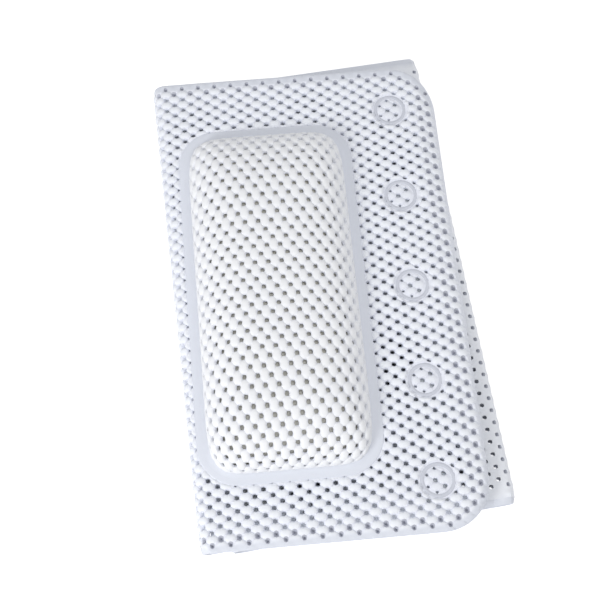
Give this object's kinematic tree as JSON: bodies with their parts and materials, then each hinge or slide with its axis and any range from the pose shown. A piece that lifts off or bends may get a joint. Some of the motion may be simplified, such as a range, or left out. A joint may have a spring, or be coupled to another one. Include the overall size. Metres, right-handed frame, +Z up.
{
  "type": "full-body bath mat",
  "caption": "Long puffed-foam bath mat with a built-in domed pillow at its head end and suction cups underneath, folded in four.",
  "frame": {"origin": "on the surface that the folded mat lies on, under the middle of its box", "axes": "+Z up, +X towards the mat's head end, +Y across the mat's width, away from the viewer of the picture"},
  "size_m": [0.265, 0.4184, 0.0713],
  "materials": {
    "puffed_foam": "white puffed PVC foam, matt and finely pebbled",
    "core_foam": "pale yellow open-cell foam",
    "cup_vinyl": "soft moulded PVC, smooth and slightly clear"
  },
  "bodies": {
    "head_panel": {"head_sheet": "puffed_foam", "pillow_cover": "puffed_foam", "pillow_core": "core_foam", "head_cup_1": "cup_vinyl", "head_cup_2": "cup_vinyl", "head_cup_3": "cup_vinyl", "head_cup_4": "cup_vinyl", "head_cup_5": "cup_vinyl"},
    "head_fold_strip": {"head_fold": "puffed_foam"},
    "back_panel": {"back_sheet": "puffed_foam", "back_cup_a_1": "cup_vinyl", "back_cup_a_2": "cup_vinyl", "back_cup_a_3": "cup_vinyl", "back_cup_a_4": "cup_vinyl", "back_cup_a_5": "cup_vinyl", "back_cup_b_1": "cup_vinyl", "back_cup_b_2": "cup_vinyl", "back_cup_b_3": "cup_vinyl", "back_cup_b_4": "cup_vinyl", "back_cup_b_5": "cup_vinyl"},
    "middle_fold_strip": {"middle_fold": "puffed_foam"},
    "seat_panel": {"seat_sheet": "puffed_foam", "seat_cup_a_1": "cup_vinyl", "seat_cup_a_2": "cup_vinyl", "seat_cup_a_3": "cup_vinyl", "seat_cup_a_4": "cup_vinyl", "seat_cup_a_5": "cup_vinyl", "seat_cup_b_1": "cup_vinyl", "seat_cup_b_2": "cup_vinyl", "seat_cup_b_3": "cup_vinyl", "seat_cup_b_4": "cup_vinyl", "seat_cup_b_5": "cup_vinyl"},
    "foot_fold_strip": {"foot_fold": "puffed_foam"},
    "foot_panel": {"foot_sheet": "puffed_foam", "foot_cup_a_1": "cup_vinyl", "foot_cup_a_2": "cup_vinyl", "foot_cup_a_3": "cup_vinyl", "foot_cup_a_4": "cup_vinyl", "foot_cup_a_5": "cup_vinyl", "foot_cup_b_1": "cup_vinyl", "foot_cup_b_2": "cup_vinyl", "foot_cup_b_3": "cup_vinyl", "foot_cup_b_4": "cup_vinyl", "foot_cup_b_5": "cup_vinyl"}
  },
  "joints": [
    {"name": "head_fold_open", "type": "hinge", "parent": "head_panel", "child": "head_fold_strip", "pos_m": [-0.12168, -0.00947, 0.04185], "axis": [-0.0384, 0.9993, 0], "range_deg": [0, 90]},
    {"name": "head_fold_open_lower", "type": "hinge", "parent": "head_fold_strip", "child": "back_panel", "pos_m": [-0.12168, -0.00947, 0.02665], "axis": [-0.0384, 0.9993, 0], "range_deg": [0, 90]},
    {"name": "middle_fold_open", "type": "hinge", "parent": "back_panel", "child": "middle_fold_strip", "pos_m": [0.11514, 0.00963, 0.02745], "axis": [0.0767, -0.9971, 0], "range_deg": [0, 90]},
    {"name": "middle_fold_open_lower", "type": "hinge", "parent": "middle_fold_strip", "child": "seat_panel", "pos_m": [0.11514, 0.00963, 0.01755], "axis": [0.0767, -0.9971, 0], "range_deg": [0, 90]},
    {"name": "foot_fold_open", "type": "hinge", "parent": "seat_panel", "child": "foot_fold_strip", "pos_m": [-0.10874, -0.00767, 0.01835], "axis": [-0.0854, 0.9963, 0], "range_deg": [0, 90]},
    {"name": "foot_fold_open_lower", "type": "hinge", "parent": "foot_fold_strip", "child": "foot_panel", "pos_m": [-0.10874, -0.00767, 0.00315], "axis": [-0.0854, 0.9963, 0], "range_deg": [0, 90]}
  ],
  "couplings": [
    {"joint": "head_fold_open_lower", "follows": "head_fold_open", "ratio": 1},
    {"joint": "middle_fold_open_lower", "follows": "middle_fold_open", "ratio": 1},
    {"joint": "foot_fold_open", "follows": "middle_fold_open", "ratio": 1},
    {"joint": "foot_fold_open_lower", "follows": "middle_fold_open", "ratio": 1}
  ]
}
